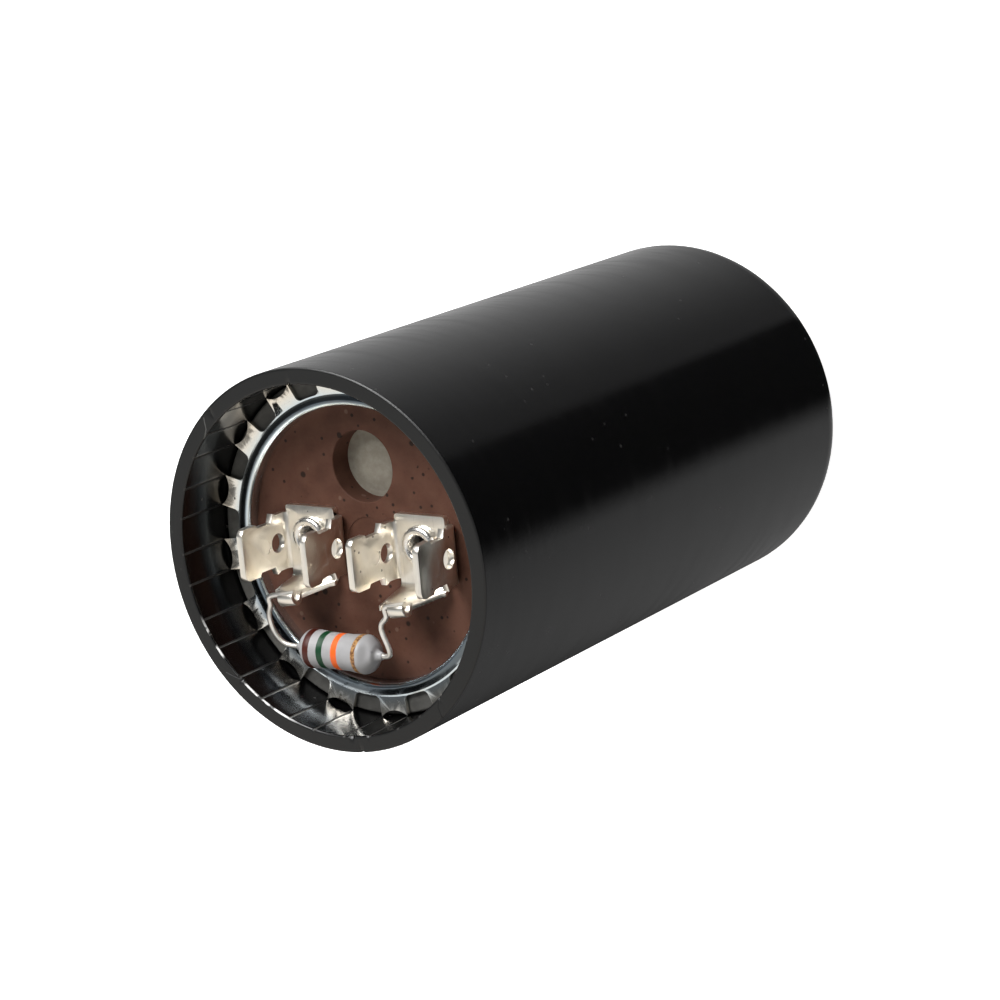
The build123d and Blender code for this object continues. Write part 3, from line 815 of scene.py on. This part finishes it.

# %% [markdown]
# ## The retaining ring
#
# The ring is spring steel under bright zinc, harder and bluer than tin, with the cream tint of its
# yellowed passivation towards the teeth. Its teeth bend up towards their tips. The CAD solid has them
# nearly flat, and a Bump node on the radius tilts their shading as if they rose, so they mirror the
# bright table and not the black wall. Where the ring folds up into its lip, a painted reflection darkens
# the colour to a slate band, as if the plating there mirrored the dim room.

# %% The ring's plating
TOOTH_ROOT = 18.3
TOOTH_RISE = 0.75
SOFT_RING = 0.05
CREAM = (1.0, 0.94, 0.84)
PALE_BLUE = (0.80, 0.91, 0.98)
PAINTED_DARK_REFLECTION = (0.07, 0.085, 0.10)
zinc = plated("zinc_plate", ((1.0, 0.98, 0.95), (0.97, 0.98, 0.99)), 0.15, 1.4, 0.03, smear=0.25)
x, y, z = zinc.axes()
radius = (x * x + y * y) ** 0.5
tint_and_painted_reflection = zinc.mix(radius.step(17.6, 20.4), PALE_BLUE, CREAM)
# painted reflection: the band where the ring folds up into its lip is darkened in colour, standing in for
# the dim room it would mirror
painted_dark_band = radius.step(17.1, 17.4) * radius.step(18.35, 17.95)
tint_and_painted_reflection = zinc.mix(0.86 * painted_dark_band, tint_and_painted_reflection, PAINTED_DARK_REFLECTION)
lift = ((radius - TOOTH_ROOT) / (MOUTH_R - TOOTH_ROOT)).clamp()
zinc_colour_with_painted_reflection = zinc.node("ShaderNodeVectorMath", {"operation": "MULTIPLY"}, zinc.fed("Base Color"), tint_and_painted_reflection)
zinc.set(Base_Color=zinc_colour_with_painted_reflection, Normal=zinc.bump(lift, TOOTH_RISE, zinc.fed("Normal")))
softened("retaining_ring", SOFT_RING, zinc.material)
print("ring plated, its teeth shaded as if their tips rose", TOOTH_RISE, "mm")

# %% [markdown]
# ## Brown phenolic
#
# The header disc is paper and resin, pressed and then faced. Its colour clouds over a few millimetres,
# dark flecks of resin show through, and the facing tool left faint arcs. Noise of two sizes makes the
# clouds and the paper's fibre, and a sine of the radius makes the arcs, bent by noise so that they don't
# look drawn.

# %% The header disc
BROWNS = ((0.085, 0.036, 0.023), (0.125, 0.055, 0.036))
FIBRE_BROWN = (0.055, 0.024, 0.016)
FACED_BROWN = (0.19, 0.10, 0.07)
RESIN_BLACK = (0.012, 0.008, 0.006)
PALE_FLECK = (0.25, 0.16, 0.12)
disc = Finish("brown_phenolic")
x, y, z = disc.axes()
radius = (x * x + y * y) ** 0.5
cloud = disc.noise(5.0, detail=5.0, roughness=0.6)
fibre = disc.noise(0.5, detail=4.0, roughness=0.7)
arcs = (radius * 2.2 + 1.5 * disc.noise(9.0)).maths("SINE") * 0.5 + 0.5
flecks = (disc.specks(0.8, 0.10) + disc.specks(1.5, 0.06, seed=0.03)).clamp()
brown = disc.mix(cloud.step(0.3, 0.7), *BROWNS)
brown = disc.mix(0.35 * fibre.step(0.55, 0.75), brown, FIBRE_BROWN)
brown = disc.mix(0.10 * arcs, brown, FACED_BROWN)
brown = disc.mix(0.85 * flecks, brown, RESIN_BLACK)
brown = disc.mix(0.4 * disc.specks(1.1, 0.04, seed=0.05), brown, PALE_FLECK)
disc.set(Base_Color=brown, Roughness=0.55 + 0.15 * fibre, Specular_IOR_Level=0.2,
         Normal=disc.bump(fibre + 0.6 * arcs, 0.012))
wear("terminal_disc", disc.material)
print("header disc dressed with", len(disc.tree.nodes), "nodes")

# %% [markdown]
# ## Rubber, seal and the parts inside
#
# The vent shows the rubber that backs the disc, and the seal is dark rubber under the ring. Below them,
# out of sight, the winding is metallised film rolled with paper, wrapped in kraft and held in pitch.
# They differ in colour, dullness and grain but not in kind, so one function makes them all. The
# winding's layers are a sine of the radius.


# %% Soft and hidden finishes
def clouded(name, colours, roughness, size, depth, layers=None):
    """A dull solid that drifts between two colours.

    layers adds rings of the second colour, that many per millimetre: a sine of 2 pi times the radius times
    layers."""
    dull = Finish(name)
    cloud = dull.noise(size, detail=5.0, roughness=0.6)
    share = cloud.step(0.3, 0.7)
    if layers:
        x, y, z = dull.axes()
        radius = (x * x + y * y) ** 0.5
        share = 0.4 * share + 0.6 * ((radius * layers * 2 * math.pi).maths("SINE") * 0.5 + 0.5)
    grit = dull.noise(0.3 * size, detail=3.0)
    return dull.set(Base_Color=dull.mix(share, *colours), Roughness=roughness + 0.15 * (grit - 0.5),
                    Normal=dull.bump(grit, depth))


insulation = clouded("insulator_board", ((0.22, 0.15, 0.09), (0.16, 0.10, 0.06)), 0.7, 1.8, 0.03)
soft_finishes = {
    "rubber_backing": clouded("vent_rubber", ((0.36, 0.33, 0.27), (0.27, 0.245, 0.195)), 0.6, 1.2, 0.03),
    "seal_ring": clouded("seal_rubber", ((0.085, 0.083, 0.076), (0.12, 0.117, 0.108)), 0.55, 1.5, 0.03),
    "winding": clouded("wound_film", ((0.60, 0.60, 0.60), (0.32, 0.25, 0.16)), 0.45, 2.0, 0.02, layers=2.0),
    "winding_wrap": clouded("kraft_wrap", ((0.38, 0.25, 0.14), (0.30, 0.19, 0.10)), 0.75, 2.5, 0.03),
    "top_insulator": insulation,
    "bottom_insulator": insulation,
    "potting": clouded("pitch", ((0.006, 0.005, 0.005), (0.012, 0.010, 0.009)), 0.25, 4.0, 0.05),
}
for node_name, material in soft_finishes.items():
    wear(node_name, material)
print("dressed:", ", ".join(soft_finishes))
